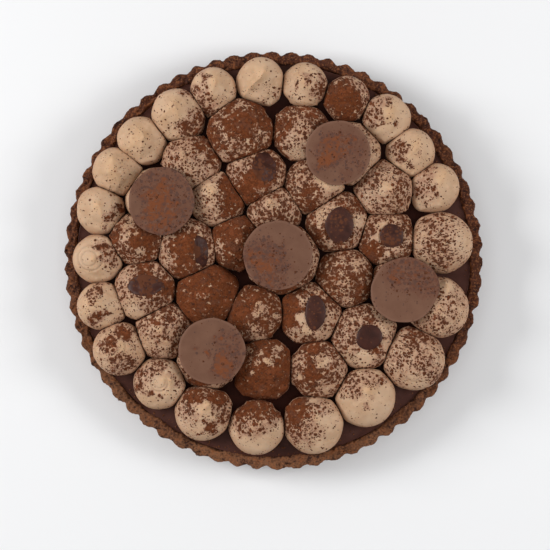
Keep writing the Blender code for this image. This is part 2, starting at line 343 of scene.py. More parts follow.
def ganache_material():
    """Satin chocolate ganache: mottled a little, with fine pits, and darker in the hollows under the
    domes, partly with painted shade.
    """
    material, tree, shader, where = new_material("satin_ganache")
    cloud = grain(tree, where, 11 * MM, 3)
    fine = grain(tree, where, 1.2 * MM, 3, 0.6)
    mottled = soft_step(tree, cloud, 0.35, 0.65)
    shade = tint(tree, (0.058, 0.019, 0.013), mottled, (0.080, 0.030, 0.022))
    powdered = soft_step(tree, grain(tree, where, 0.8 * MM, 1), 0.70, 0.76)
    shade = tint(tree, shade, powdered, (0.16, 0.05, 0.02), 0.8)
    # Painted shade in the hollows between and under the domes, partly cocoa fallen there: the ganache is
    # darker inside 92 to 100 mm from the middle
    outward = put(tree, "VectorMath", {0: where, 1: (1, 1, 0)}, operation="MULTIPLY").outputs[0]
    outward = put(tree, "VectorMath", {0: outward}, operation="LENGTH").outputs["Value"]
    shade = tint(tree, shade, soft_step(tree, outward, 0.100, 0.092), (0.042, 0.006, 0.001))
    surfaced(tree, shader, shade, between(tree, cloud, 0.34, 0.56), 0.14, fine, 0.12 * MM, 0.5)
    return material


finished("poured_ganache", build_filling(), ganache_material(), "ganache_filling")


# ---------------------------------------------------------------------------------------------
# Piped domes. Milk-chocolate cream, piped with a plain round nozzle in four rings that press
# against one another, each dome pulled off to a small peak. Cocoa was shaken over them
# unevenly, so some are bare, some speckled and some wholly brown.

# How the cocoa lies on each dome: the cover all over it, from 0 to 1, then patches, laid one over
# the other: bearing in degrees from the right, distance and size as shares of the radius, cover
COCOA = {
    "outer_01": (0.02, [(290, 0.5, 0.45, 0.12), (280, 0.95, 0.2, 0.3), (325, 0.95, 0.2, 0.25)]),
    "outer_02": (0.12, [
        (90, 0.85, 0.35, 0.03), (180, 0.8, 0.3, 0.08), (70, 0.3, 0.2, 0.4), (15, 0.75, 0.2, 0.4),
        (345, 0.85, 0.35, 0.7), (320, 0.75, 0.3, 0.55), (0, 0.15, 0.15, 0.4), (200, 0.4, 0.12, 0.5),
    ]),
    "outer_03": (0.62, [
        (90, 0.75, 0.3, 0.45), (35, 0.7, 0.25, 0.4), (60, 0.98, 0.25, 0.1), (350, 0.75, 0.25, 0.5),
        (270, 0.8, 0.4, 0.9), (180, 0.9, 0.4, 0.9), (205, 0.15, 0.58, 0.99),
    ]),
    "outer_04": (0.04, [
        (135, 0.6, 0.35, 0.45), (185, 0.6, 0.35, 0.5), (90, 0.6, 0.2, 0.4), (320, 0.45, 0.12, 0.8),
        (230, 0.4, 0.1, 0.7), (180, 0.88, 0.25, 0.62),
    ]),
    "outer_05": (0.05, [
        (150, 0.5, 0.3, 0.6), (200, 0.5, 0.25, 0.6), (180, 0.75, 0.25, 0.35), (270, 0.5, 0.15, 0.45),
        (0, 0.25, 0.1, 0.3), (125, 0.75, 0.25, 0.15),
    ]),
    "outer_06": (0.03, [
        (180, 0.6, 0.45, 0.42), (120, 0.7, 0.35, 0.4), (230, 0.65, 0.3, 0.3), (250, 0.2, 0.22, 0.6),
        (60, 0.8, 0.15, 0.12), (0, 0.6, 0.45, 0.02),
    ]),
    "outer_07": (0.25, [
        (210, 0.35, 0.35, 0.6), (120, 0.75, 0.3, 0.5), (65, 0.4, 0.3, 0.35), (265, 0.5, 0.3, 0.5),
        (330, 0.7, 0.3, 0.3), (5, 0.8, 0.45, 0.10),
    ]),
    "outer_08": (0.30, [
        (240, 0.5, 0.3, 0.45), (10, 0.5, 0.3, 0.3), (270, 0.85, 0.3, 0.3), (225, 0.8, 0.3, 0.4),
        (75, 0.7, 0.2, 0.05), (340, 0.9, 0.25, 0.15),
    ]),
    "outer_09": (0.30, [
        (90, 0.75, 0.35, 0.65), (340, 0.25, 0.3, 0.45), (170, 0.55, 0.3, 0.4), (0, 0.85, 0.3, 0.2),
        (270, 0.85, 0.35, 0.10), (320, 0.7, 0.25, 0.42),
    ]),
    "outer_10": (0.02, [
        (130, 0.8, 0.35, 0.50), (145, 0.5, 0.28, 0.48), (85, 0.7, 0.3, 0.38), (52, 0.8, 0.2, 0.35),
        (160, 0.7, 0.2, 0.3), (270, 0.12, 0.12, 0.45), (40, 0.2, 0.12, 0.3),
    ]),
    "outer_11": (0.04, [
        (160, 0.25, 0.35, 0.35), (225, 0.6, 0.4, 0.38), (190, 0.5, 0.35, 0.45), (150, 0.6, 0.3, 0.6),
        (175, 0.8, 0.3, 0.6), (130, 0.85, 0.45, 0.95), (70, 0.7, 0.25, 0.55), (50, 0.8, 0.2, 0.3),
        (330, 0.25, 0.2, 0.25), (240, 0.85, 0.2, 0.15),
    ]),
    "outer_12": (0.03, [
        (90, 0.05, 0.40, 0.3), (170, 0.45, 0.35, 0.42), (20, 0.35, 0.3, 0.40), (90, 0.45, 0.45, 0.45),
        (45, 0.9, 0.4, 0.7), (135, 0.9, 0.4, 0.7), (90, 0.95, 0.5, 0.97),
    ]),
    "outer_13": (0.16, [
        (270, 0.85, 0.35, 0.03), (200, 0.8, 0.3, 0.08), (180, 0.3, 0.35, 0.32), (155, 0.6, 0.35, 0.45),
        (110, 0.8, 0.35, 0.9), (50, 0.85, 0.4, 0.9), (0, 0.8, 0.25, 0.6), (310, 0.5, 0.22, 0.75),
        (60, 0.3, 0.22, 0.1), (265, 0.6, 0.1, 0.7),
    ]),
    "outer_14": (0.06, [
        (100, 0.45, 0.3, 0.38), (90, 0.85, 0.35, 0.6), (145, 0.75, 0.3, 0.5), (185, 0.7, 0.25, 0.6),
        (220, 0.4, 0.12, 0.7), (285, 0.4, 0.1, 0.7), (5, 0.8, 0.2, 0.45), (35, 0.6, 0.2, 0.35),
        (25, 0.2, 0.3, 0.02),
    ]),
    "outer_15": (0.20, [
        (180, 0.92, 0.35, 0.03), (130, 0.4, 0.3, 0.7), (80, 0.65, 0.3, 0.65), (60, 0.7, 0.25, 0.8),
        (265, 0.3, 0.25, 0.65), (170, 0.5, 0.2, 0.6), (315, 0.55, 0.3, 0.5), (270, 0.65, 0.3, 0.45),
        (0, 0.75, 0.25, 0.2), (45, 0.3, 0.2, 0.02),
    ]),
    "outer_16": (0.08, [
        (100, 0.65, 0.3, 0.6), (140, 0.55, 0.2, 0.5), (245, 0.5, 0.3, 0.7), (315, 0.4, 0.15, 0.6),
        (320, 0.95, 0.3, 0.3), (0, 0.8, 0.2, 0.15),
    ]),
    "outer_17": (0.02, [
        (70, 0.5, 0.3, 0.5), (25, 0.5, 0.35, 0.7), (20, 0.85, 0.3, 0.65), (350, 0.65, 0.25, 0.45),
        (345, 0.15, 0.1, 0.5), (320, 0.8, 0.3, 0.2),
    ]),
    "outer_18": (0.03, [
        (15, 0.7, 0.2, 0.5), (345, 0.35, 0.15, 0.4), (335, 0.5, 0.25, 0.5), (285, 0.75, 0.2, 0.45),
        (5, 0.92, 0.2, 0.7),
    ]),
    "outer_19": (0.05, [(340, 0.2, 0.3, 0.12), (270, 0.7, 0.3, 0.10)]),
    "outer_20": (0.05, [(300, 0.3, 0.3, 0.10)]),
    "outer_21": (0.07, [
        (245, 0.6, 0.3, 0.12), (70, 0.95, 0.22, 0.6), (55, 0.95, 0.2, 0.55), (15, 0.6, 0.2, 0.45),
        (355, 0.85, 0.35, 0.62), (310, 0.65, 0.4, 0.64), (320, 0.95, 0.3, 0.62),
    ]),
    "outer_22": (0.03, [
        (165, 0.4, 0.3, 0.3), (240, 0.6, 0.45, 0.45), (260, 0.85, 0.3, 0.6), (120, 0.65, 0.18, 0.6),
        (180, 0.85, 0.25, 0.6), (320, 0.6, 0.2, 0.2), (0, 0.88, 0.15, 0.25),
    ]),
    "second_01": (0.86, [
        (165, 0.7, 0.25, 0.55), (210, 0.55, 0.22, 0.5), (90, 0.75, 0.25, 0.55), (265, 0.5, 0.3, 0.55),
        (345, 0.6, 0.25, 0.5), (240, 0.95, 0.2, 0.4), (140, 0.8, 0.2, 0.6), (60, 0.2, 0.35, 1.0),
    ]),
    "second_02": (0.70, [
        (115, 0.75, 0.35, 0.65), (160, 0.6, 0.3, 0.85), (55, 0.9, 0.3, 0.7), (75, 0.3, 0.3, 0.35),
        (220, 0.4, 0.35, 0.3), (260, 0.75, 0.3, 0.2), (180, 0.92, 0.25, 0.75), (320, 0.4, 0.3, 0.35),
    ]),
    "second_03": (0.38, [(0, 0.9, 0.4, 0.25)]),
    "second_04": (0.40, [
        (90, 0.5, 0.3, 0.45), (150, 0.65, 0.3, 0.5), (0, 0.55, 0.3, 0.65), (50, 0.4, 0.25, 0.3),
        (270, 0.75, 0.3, 0.4), (215, 0.6, 0.3, 0.3), (330, 0.75, 0.25, 0.6), (300, 0.15, 0.25, 0.12),
    ]),
    "second_05": (0.56, [
        (110, 0.5, 0.25, 0.15), (175, 0.45, 0.2, 0.2), (350, 0.65, 0.2, 0.3), (220, 0.8, 0.4, 0.9),
        (35, 0.8, 0.3, 0.6), (80, 0.85, 0.25, 0.6), (290, 0.55, 0.25, 0.25), (175, 0.78, 0.25, 0.6),
        (300, 0.85, 0.3, 0.7),
    ]),
    "second_06": (0.60, []),
    "second_07": (0.54, [
        (90, 0.8, 0.3, 0.6), (190, 0.45, 0.3, 0.5), (120, 0.6, 0.25, 0.45), (25, 0.7, 0.3, 0.2),
        (240, 0.85, 0.3, 0.2), (340, 0.8, 0.2, 0.2), (275, 0.7, 0.3, 0.06), (305, 0.6, 0.13, 0.85),
    ]),
    "second_08": (0.62, [
        (105, 0.75, 0.35, 0.85), (155, 0.8, 0.25, 0.35), (215, 0.25, 0.35, 0.9), (5, 0.75, 0.3, 0.4),
        (290, 0.75, 0.3, 0.3), (230, 0.95, 0.3, 0.75), (325, 0.6, 0.2, 0.6), (65, 0.35, 0.22, 0.08),
        (200, 0.65, 0.15, 0.1),
    ]),
    "second_09": (0.93, [
        (115, 0.6, 0.35, 0.6), (55, 0.85, 0.3, 0.55), (270, 0.5, 0.6, 0.99), (50, 0.35, 0.18, 0.2),
        (190, 0.4, 0.12, 0.3),
    ]),
    "second_10": (0.35, [(250, 0.9, 0.3, 0.85), (300, 0.9, 0.3, 0.5)]),
    "second_11": (0.48, [
        (75, 0.7, 0.3, 0.6), (120, 0.5, 0.25, 0.7), (315, 0.8, 0.3, 0.7), (35, 0.75, 0.3, 0.55),
        (40, 0.98, 0.2, 0.9), (215, 0.8, 0.35, 0.25), (270, 0.8, 0.3, 0.4), (160, 0.3, 0.15, 0.2),
        (275, 0.45, 0.25, 0.25),
    ]),
    "second_12": (0.45, [
        (90, 0.75, 0.35, 0.75), (160, 0.75, 0.3, 0.35), (190, 0.8, 0.2, 0.5), (225, 0.8, 0.35, 0.2),
        (250, 0.9, 0.3, 0.12), (5, 0.8, 0.35, 0.9), (325, 0.55, 0.3, 0.6),
    ]),
    "second_13": (0.60, [
        (180, 0.8, 0.25, 0.85), (180, 0.45, 0.22, 0.25), (115, 0.6, 0.18, 0.2), (110, 0.9, 0.25, 0.3),
        (320, 0.35, 0.5, 0.95), (280, 0.5, 0.2, 0.35), (230, 0.65, 0.3, 0.55),
    ]),
    "second_14": (0.12, [(270, 0.9, 0.4, 0.4), (0, 0.9, 0.4, 0.3), (165, 0.9, 0.6, 0.04)]),
    "second_15": (0.40, [
        (60, 0.75, 0.3, 0.85), (15, 0.8, 0.3, 0.8), (170, 0.7, 0.3, 0.5), (275, 0.7, 0.3, 0.35),
        (220, 0.6, 0.25, 0.4), (125, 0.4, 0.25, 0.35), (250, 0.2, 0.3, 0.35),
    ]),
    "third_01": (0.60, [
        (145, 0.75, 0.35, 0.42), (110, 0.85, 0.25, 0.5), (255, 0.4, 0.5, 0.98), (40, 0.9, 0.25, 0.6),
        (305, 0.85, 0.3, 0.6), (285, 0.6, 0.15, 0.5), (330, 0.9, 0.2, 0.35),
    ]),
    "third_02": (0.58, [
        (140, 0.65, 0.35, 0.5), (245, 0.5, 0.4, 0.75), (305, 0.5, 0.2, 0.4), (190, 0.75, 0.3, 0.6),
        (0, 0.75, 0.25, 0.15), (0, 0.45, 0.25, 0.12), (50, 0.3, 0.2, 0.08),
    ]),
    "third_03": (0.70, [
        (205, 0.85, 0.3, 0.8), (260, 0.75, 0.3, 0.55), (0, 0.75, 0.3, 0.2), (65, 0.85, 0.25, 0.55),
        (120, 0.6, 0.25, 0.3), (315, 0.8, 0.3, 0.4), (160, 0.55, 0.2, 0.18), (190, 0.55, 0.15, 0.2),
    ]),
    "third_04": (0.70, [
        (50, 0.65, 0.25, 0.3), (270, 0.3, 0.25, 0.4), (150, 0.75, 0.3, 0.75), (325, 0.75, 0.3, 0.8),
        (100, 0.75, 0.3, 0.6), (275, 0.8, 0.25, 0.45),
    ]),
    "third_05": (0.70, [
        (180, 0.65, 0.5, 0.99), (82, 0.75, 0.3, 0.6), (350, 0.7, 0.3, 0.3), (305, 0.8, 0.3, 0.3),
        (235, 0.95, 0.25, 0.3), (215, 0.38, 0.2, 0.12), (255, 0.6, 0.2, 0.12), (125, 0.45, 0.2, 0.3),
    ]),
    "third_06": (0.80, [
        (170, 0.6, 0.5, 0.97), (275, 0.7, 0.35, 0.4), (350, 0.75, 0.3, 0.55), (90, 0.75, 0.3, 0.85),
        (45, 0.25, 0.25, 0.35),
    ]),
    "third_07": (0.96, [(220, 0.1, 0.15, 0.65), (270, 0.78, 0.22, 0.75), (165, 0.85, 0.2, 0.85)]),
    "third_08": (0.55, [
        (170, 0.75, 0.25, 0.45), (210, 0.85, 0.3, 0.4), (130, 0.8, 0.3, 0.35), (10, 0.7, 0.2, 0.5),
        (265, 0.6, 0.4, 0.9), (125, 0.15, 0.45, 0.98),
    ]),
    "third_09": (0.30, [
        (245, 0.65, 0.3, 0.4), (175, 0.7, 0.3, 0.35), (50, 0.7, 0.35, 0.95), (315, 0.65, 0.3, 0.9),
        (5, 0.6, 0.5, 0.98), (125, 0.45, 0.2, 0.12),
    ]),
    "inner_01": (0.54, [(140, 0.8, 0.3, 0.7), (130, 0.3, 0.25, 0.25), (20, 0.7, 0.3, 0.5)]),
    "inner_02": (0.60, [(0, 0.9, 0.4, 0.5), (270, 0.9, 0.4, 0.8)]),
    "inner_03": (0.86, [
        (190, 0.65, 0.25, 0.5), (230, 0.7, 0.2, 0.55), (115, 0.7, 0.3, 0.9), (40, 0.25, 0.15, 0.5),
    ]),
}

# Marks that the nozzle left: a ridge runs from one place to another, given as bearing and share of
# the radius, with its height in mm and its half width in mm
RIDGES = {
    "outer_01": [(55, 0.40, 225, 0.90, 2.4, 1.4), (120, 0.5, 205, 0.55, -1.2, 2.6)],
    "outer_22": [(75, 0.5, 260, 0.2, 0.9, 1.6)],
    "outer_21": [(115, 0.4, 300, 0.3, 0.8, 2.0), (130, 0.35, 205, 0.75, 0.6, 1.8)],
    "outer_20": [
        (40, 0.12, 265, 0.85, 1.0, 2.2), (40, 0.12, 215, 0.80, 0.7, 2.0), (40, 0.12, 110, 0.6, 0.5, 1.8),
    ],
    "outer_19": [(110, 0.45, 285, 0.5, 0.9, 2.0), (200, 0.1, 190, 0.8, 0.6, 2.4)],
    "outer_18": [(100, 0.2, 285, 0.8, 0.9, 1.6)],
    "outer_16": [(150, 0.45, 200, 0.5, 0.6, 2.4), (120, 0.4, 330, 0.3, 0.5, 1.8)],
    "outer_15": [(100, 0.7, 185, 0.75, 0.5, 1.5), (60, 0.2, 345, 0.6, 0.6, 2.0)],
    "outer_14": [(85, 0.55, 20, 0.5, 1.0, 1.0), (20, 0.5, 310, 0.55, 0.5, 1.0)],
    "outer_13": [
        (60, 0.45, 230, 0.2, 0.8, 1.2), (60, 0.45, 340, 0.5, 0.7, 1.1), (60, 0.45, 110, 0.4, 0.7, 1.1),
    ],
    "outer_12": [(80, 0.3, 200, 0.3, 0.5, 2.0)],
    "outer_10": [(150, 0.55, 50, 0.5, 0.6, 1.2)],
    "outer_08": [(80, 0.75, 60, 0.5, 1.6, 1.3)],
    "outer_06": [(60, 0.6, 250, 0.3, 0.8, 1.6)],
    "outer_05": [(50, 0.4, 240, 0.2, 0.6, 1.8)],
    "outer_04": [(60, 0.3, 300, 0.4, 0.5, 2.0)],
    "outer_02": [(130, 0.4, 320, 0.3, 0.5, 2.0)],
    "second_01": [(35, 0.55, 330, 0.75, 0.8, 1.3), (330, 0.75, 270, 0.75, 0.7, 1.3)],
    "second_04": [(130, 0.3, 330, 0.5, 0.7, 1.8)],
    "second_09": [
        (200, 0.7, 270, 0.85, 0.8, 1.0), (270, 0.85, 330, 0.75, 0.8, 1.0), (60, 0.4, 190, 0.4, 0.7, 1.2),
    ],
    "second_11": [(130, 0.3, 290, 0.4, 0.6, 1.8)],
    "second_13": [(140, 0.5, 300, 0.4, 0.8, 1.6)],
    "second_15": [(140, 0.4, 260, 0.3, 0.9, 1.5)],
    "third_02": [(60, 0.5, 330, 0.6, 0.7, 1.6)],
    "third_04": [(40, 0.6, 250, 0.4, 0.7, 1.8)],
    "third_06": [(70, 0.4, 260, 0.3, 0.6, 1.4)],
    "third_09": [(130, 0.5, 250, 0.3, 0.8, 1.5)],
    "inner_01": [(120, 0.4, 300, 0.3, 0.8, 1.6)],
    "inner_03": [(60, 0.4, 330, 0.4, 0.7, 1.4), (140, 0.6, 60, 0.4, 0.5, 1.2)],
}

# Rings left by the nozzle's edge: bearing, share of the radius, ring radius and depth in mm
RINGS = {
    "outer_17": [(170, 0.2, 7.6, 0.35), (175, 0.25, 4.6, 0.25)],
    "outer_14": [(60, 0.12, 5.0, 0.35), (60, 0.16, 3.4, 0.25)],
    "outer_09": [(320, 0.1, 12.0, 0.2)],
    "outer_15": [(150, 0.3, 9.0, 0.2)],
}

# Domes pressed flat on top by a disc or a pool, with no peak of their own
PRESSED = {
    "second_03", "second_05", "second_06", "second_07", "second_10", "second_14", "third_03",
    "third_05", "inner_02",
}

# Dents pressed into the domes' tops by the pools that cocoa has half buried: the place in mm, the
# two sizes in mm and the depth in mm
DENTS = {
    "third_01": (-5.3, 55.0, 14.0, 18.5, 2.2),
    "second_12": (-75.0, -14.6, 20.0, 12.5, 2.2),
    "third_08": (-42.6, 5.2, 8.5, 18.5, 1.8),
}

# How far the outer ring is pressed in against the next, in mm, at bearings round the tart in degrees,
# and what share of that holds at distances from the middle in mm
PRESSED_IN = (
    (0, 20, 40, 65, 85, 105, 123, 140, 155, 180, 195, 212, 230, 250, 325, 345),
    (1.2, 2.2, 1.3, 0.6, 0.3, 2.0, 2.9, 2.1, 1.9, 2.5, 2.2, 1.4, 0.5, 0.0, 0.0, 0.4),
)
PRESSED_SHARE = ((0, 40, 62, 88, 100, 112, 125), (0.0, 0.10, 0.45, 1.0, 0.75, 0.45, 0.30))

BALL_SUBDIVISIONS = 5
RIDGE_STRENGTH = 1.5
SMOOTHING = 16
SWELLING_ROUNDS = 8
SMOOTHED = (1, 1, 1, 2, 3, 4, 1, 0)  # rounds of smoothing after each; the last ones leave tight seams
SWELLING = 0.60 * MM  # the most that a dome grows in a round
OUTER_SWELLING = 0.9 * MM  # and in all, in the ring by the rim
INNER_SWELLING = 2.0 * MM
HOLLOW_SWELLING = 2.0 * MM  # and this much more into the wide hollows where three or four domes meet
TOP_KEPT = 0.74  # above this share of its height a dome keeps its shape
STEEP = 0.45  # and where its skin faces more upwards than this
ROOM_REACH = 14 * MM  # it grows only towards a neighbour nearer than this
CONTACT_GAP = 0.07 * MM
CREASE_REACH = 0.8 * MM
OFF_THE_SKIN = 0.02 * MM  # where a measuring line starts, just clear of its own dome


def dome_names():
    """The domes' ring and number, as in outer_01."""
    return sorted(name[len("dome_"):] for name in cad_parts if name.startswith("dome_"))


def pressed_in(place):
    """Where a place in plan ends up once the rings are pressed against one another."""
    bearing = math.degrees(math.atan2(place.y, place.x))
    amount = np.interp(bearing, *PRESSED_IN, period=360)
    amount *= np.interp(place.xy.length / MM, *PRESSED_SHARE)
    return place.xy * (1 - amount * MM / max(place.xy.length, MM))


def dome_middle(name):
    """A dome's middle in plan and its mean radius, from its CAD box."""
    low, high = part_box("dome_" + name)
    return np.array(pressed_in((low + high) / 2)), (high.x - low.x + high.y - low.y) / 4


def merged_copy(node):
    """A copy of a CAD node's mesh with its loose triangles joined up."""
    bm = bmesh.new()
    bm.from_mesh(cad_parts[node].data)
    bmesh.ops.remove_doubles(bm, verts=bm.verts, dist=0.01 * MM)
    return bm


def smooth(bm, passes):
    for _ in range(passes):
        bmesh.ops.smooth_vert(
            bm, verts=bm.verts, factor=0.5, use_axis_x=True, use_axis_y=True, use_axis_z=True
        )


def soft_dome(node):
    """A ball drawn in onto the CAD dome, then smoothed without losing its size."""
    cad = merged_copy(node)
    surface = BVHTree.FromBMesh(cad)
    low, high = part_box(node)
    heart = (low + high) / 2
    heart.z = low.z + 0.4 * (high.z - low.z)
    bm = bmesh.new()
    bmesh.ops.create_icosphere(bm, subdivisions=BALL_SUBDIVISIONS, radius=1)
    for vert in bm.verts:
        hit = surface.ray_cast(heart, vert.co.normalized())[0]
        vert.co = hit if hit else surface.find_nearest(heart + vert.co * 20 * MM)[0]
    smooth(bm, SMOOTHING)
    once = [vert.co.copy() for vert in bm.verts]
    smooth(bm, SMOOTHING)
    for vert, place in zip(bm.verts, once):
        vert.co = 2 * place - vert.co
        vert.co.xy = pressed_in(vert.co)
    bmesh.ops.recalc_face_normals(bm, faces=bm.faces)
    cad.free()
    return bm


def surface_of(meshes):
    """Several meshes as one surface to measure against."""
    together = bmesh.new()
    for mesh in meshes:
        together.from_mesh(mesh)
    surface = BVHTree.FromBMesh(together)
    together.free()
    return surface


def crowded(soft):
    """All the soft domes as one surface to measure against."""
    copies = []
    for bm in soft.values():
        copies.append(bpy.data.meshes.new("swelling"))
        bm.to_mesh(copies[-1])
    around = surface_of(copies)
    for mesh in copies:
        bpy.data.meshes.remove(mesh)
    return around


def shade_creases(soft):
    """Marks how deep in the seam between two domes each point lies, from 0 to 1, for the painted shade
    there.
    """
    around = crowded(soft)
    for bm in soft.values():
        crease_shade = bm.verts.layers.float.new("crease_shade")
        bm.normal_update()
        for vert in bm.verts:
            side = Vector((vert.normal.x, vert.normal.y, 0))
            if side.length < 0.3:
                continue
            side.normalize()
            hit = around.ray_cast(vert.co + side * OFF_THE_SKIN, side, CREASE_REACH)
            if hit[0] is not None:
                vert[crease_shade] = min(1.0, 1.4 * (1 - hit[3] / CREASE_REACH))


def press_together(soft):
    """Lets the soft domes swell sideways into the room between them, until they all but touch."""
    grown = {name: [0.0] * len(bm.verts) for name, bm in soft.items()}
    for turn in range(SWELLING_ROUNDS):
        around = crowded(soft)
        for name, bm in soft.items():
            low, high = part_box("dome_" + name)
            by_rim = name.startswith("outer")
            inward = -((low + high) / 2).xy.normalized().to_3d()
            limit = OUTER_SWELLING if by_rim else INNER_SWELLING
            bm.normal_update()
            for vert in bm.verts:
                level = (vert.co.z - low.z) / (high.z - low.z)
                side = Vector((vert.normal.x, vert.normal.y, 0))
                if level > TOP_KEPT or side.length < STEEP:
                    continue
                side.normalize()
                hit = around.ray_cast(vert.co + side * OFF_THE_SKIN, side, ROOM_REACH)
                if hit[0] is None:
                    continue
                extra = 0.0
                if not by_rim or side @ inward > 0.2:
                    extra = HOLLOW_SWELLING * min(1.0, max(0.0, hit[3] / (4 * MM) - 1))
                spare = max(0.0, limit + extra - grown[name][vert.index])
                step = min(SWELLING, spare, max(hit[3] / 2 - CONTACT_GAP, -SWELLING))
                step *= min(1.0, (0.78 - level) / 0.36)
                grown[name][vert.index] += step
                vert.co += side * step
            smooth(bm, SMOOTHED[turn])
    shade_creases(soft)


def divided(bm, node):
    """Divides the part of a dome that shows, for its fine detail."""
    low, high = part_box(node)
    waist = low.z + 0.22 * (high.z - low.z)
    above = [edge for edge in bm.edges if min(vert.co.z for vert in edge.verts) > waist]
    bmesh.ops.subdivide_edges(bm, edges=above, cuts=1, use_grid_fill=True)
    smooth(bm, 1)
    bmesh.ops.recalc_face_normals(bm, faces=bm.faces)


def strayed(points, size, amount, seed):
    """The points in plan, each moved a little sideways, so that an edge isn't a true circle."""
    drift = np.column_stack((ripple(points, size, seed), ripple(points, size, seed + 50)))
    return points[:, :2] + drift * amount


def polar(middle, radius, bearing, share):
    angle = math.radians(bearing)
    return np.array(middle) + radius * share * np.array((math.cos(angle), math.sin(angle)))


def cover(plan, middle, radius, base, patches):
    """How thickly cocoa lies at each point, from 0 to 1."""
    thick = np.full(len(plan), float(base))
    for bearing, share, size, amount in patches:
        distance = out_from(plan, polar(middle, radius, bearing, share))
        weight = 1 - rise(distance / (size * radius), 0.50, 1.50)
        thick = thick * (1 - weight) + amount * weight
    return thick


def distance_to_line(plan, start, end):
    """Distance of each point from a line, and how far along it the nearest place is, from 0 to 1."""
    run = end - start
    share = np.clip(((plan - start) @ run) / (run @ run), 0, 1)
    return np.linalg.norm(plan - start - share[:, None] * run, axis=1), share


def fold(distance, width):
    """1 at no distance, falling away on straight flanks like a fold."""
    return np.exp(-(np.sqrt(distance**2 + (0.25 * MM) ** 2) - 0.25 * MM) / width)


def bump(distance, width):
    """1 at no distance, fading like a bell."""
    return np.exp(-((distance / width) ** 2))


def read_mark(mesh, label):
    """The numbers stored at a mesh's vertices."""
    values = np.empty(len(mesh.vertices), dtype=np.float32)
    mesh.attributes[label].data.foreach_get("value", values)
    return values


def pipe_dome(name, bm):
    """One dome's mesh: its peak, nozzle marks and unevenness, how thickly cocoa lies on it, and where
    painted shade goes.
    """
    node = "dome_" + name
    divided(bm, node)
    mesh = as_mesh(bm, "piped_" + name)
    middle, radius = dome_middle(name)
    low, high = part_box(node)
    place, normal = vectors(mesh), vectors(mesh, "normal")
    upper = np.clip((place[:, 2] - low.z) / (high.z - low.z) * 2 - 0.5, 0, 1)
    moved = np.zeros(len(place))
    crest_nearness = np.zeros(len(place))
    crease_shade = read_mark(mesh, "crease_shade")
    summit = max((vert.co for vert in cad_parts[node].data.vertices), key=lambda co: co.z)
    if name not in PRESSED:
        away = out_from(place, pressed_in(summit))
        moved += 0.9 * MM * fold(away, 3.0 * MM) + 0.40 * MM * bump(away, 1.2 * MM)
        crest_nearness += bump(away, 2.5 * MM)
    bent = strayed(place, 9 * MM, 0.35 * MM, 31)
    for from_bearing, from_share, to_bearing, to_share, height, width in RIDGES.get(name, []):
        start = polar(middle, radius, from_bearing, from_share)
        end = polar(middle, radius, to_bearing, to_share)
        away, share = distance_to_line(bent, start, end)
        crest = fold(away, 1.3 * width * MM) * (1 - 0.6 * share)
        moved += RIDGE_STRENGTH * height * MM * crest
        crest_nearness += 0.8 * crest
    for bearing, share, ring, depth in RINGS.get(name, []):
        away = out_from(place, polar(middle, radius, bearing, share))
        groove = bump(away - ring * MM, 0.55 * MM)
        moved -= 1.5 * depth * MM * groove
        # The ring grooves get painted shade as well, through the same mark
        crease_shade += 0.30 * groove
    if name in DENTS:
        x, y, width, length, depth = DENTS[name]
        away = np.hypot((place[:, 0] / MM - x) / width, (place[:, 1] / MM - y) / length) * 2
        moved -= depth * MM * (1 - rise(away, 0.4, 1.15))
    thick = cover(strayed(place, 7 * MM, 0.8 * MM, 33), middle, radius, *COCOA[name])
    thick *= 0.45 + 0.55 * np.clip((normal[:, 2] + 0.05) / 0.4, 0, 1)
    moved += (0.20 * ripple(place, 11 * MM, 35) + 0.06 * ripple(place, 4 * MM, 36)) * MM
    moved += 0.07 * MM * ripple(place, 1.7 * MM, 37, 24) * np.clip(thick * 1.3, 0, 1)
    place += normal * (moved * upper)[:, None]
    place[:, 2] = np.minimum(place[:, 2], cad_high.z)
    move_to(mesh, place)
    mark(mesh, "cocoa", thick)
    mark(mesh, "crest", np.clip(crest_nearness, 0, 1))
    # Steep sides are marked for painted shade
    mark(mesh, "painted_flank_shade", rise(-normal[:, 2], -0.80, -0.25))
    mesh.attributes["crease_shade"].data.foreach_set("value", crease_shade)
    return mesh


